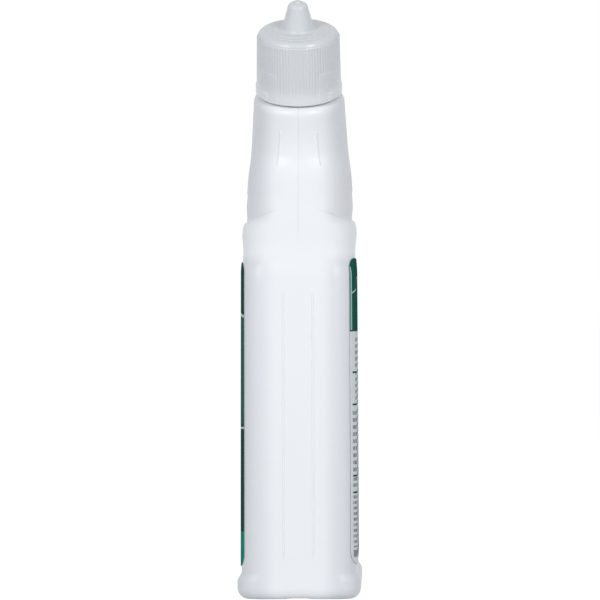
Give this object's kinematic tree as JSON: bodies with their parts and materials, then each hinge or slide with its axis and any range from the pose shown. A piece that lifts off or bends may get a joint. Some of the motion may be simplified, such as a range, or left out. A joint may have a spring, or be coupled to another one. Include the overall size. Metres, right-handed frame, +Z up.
{
  "type": "toilet cleaner bottle",
  "caption": "White blow-moulded cleaner bottle with a leaning ribbed neck, screw-off squeeze-and-turn cap, dosing nozzle and a label on each broad side.",
  "frame": {"origin": "centre of the base outline, on the surface the bottle stands on", "axes": "+Z up, +X the way the neck leans, -Y the front label, +Y the back label"},
  "size_m": [0.1048, 0.0578, 0.2806],
  "materials": {
    "bottle_plastic": "satin",
    "nozzle_plastic": "satin",
    "cap_plastic": "translucent, lightly glossy",
    "ring_foam": "matte foam",
    "front_label_film": "printed film",
    "back_label_film": "printed film"
  },
  "bodies": {
    "bottle": {"bottle": "bottle_plastic", "nozzle": "nozzle_plastic", "front_label": "front_label_film", "back_label": "back_label_film"},
    "ring": {"sealing_ring": "ring_foam"},
    "cap": {"cap": "cap_plastic"}
  },
  "joints": [
    {"name": "cap_lift", "type": "slide", "parent": "bottle", "child": "ring", "axis": [0.4147, 0, 0.91], "range_m": [0, 0.044]},
    {"name": "cap_turn", "type": "hinge", "parent": "ring", "child": "cap", "pos_m": [0.018, 0, 0.23885], "axis": [0.4147, 0, 0.91], "range_deg": [0, 3960]}
  ],
  "couplings": [
    {"joint": "cap_turn", "follows": "cap_lift", "rad_per_m": 1570.8}
  ]
}
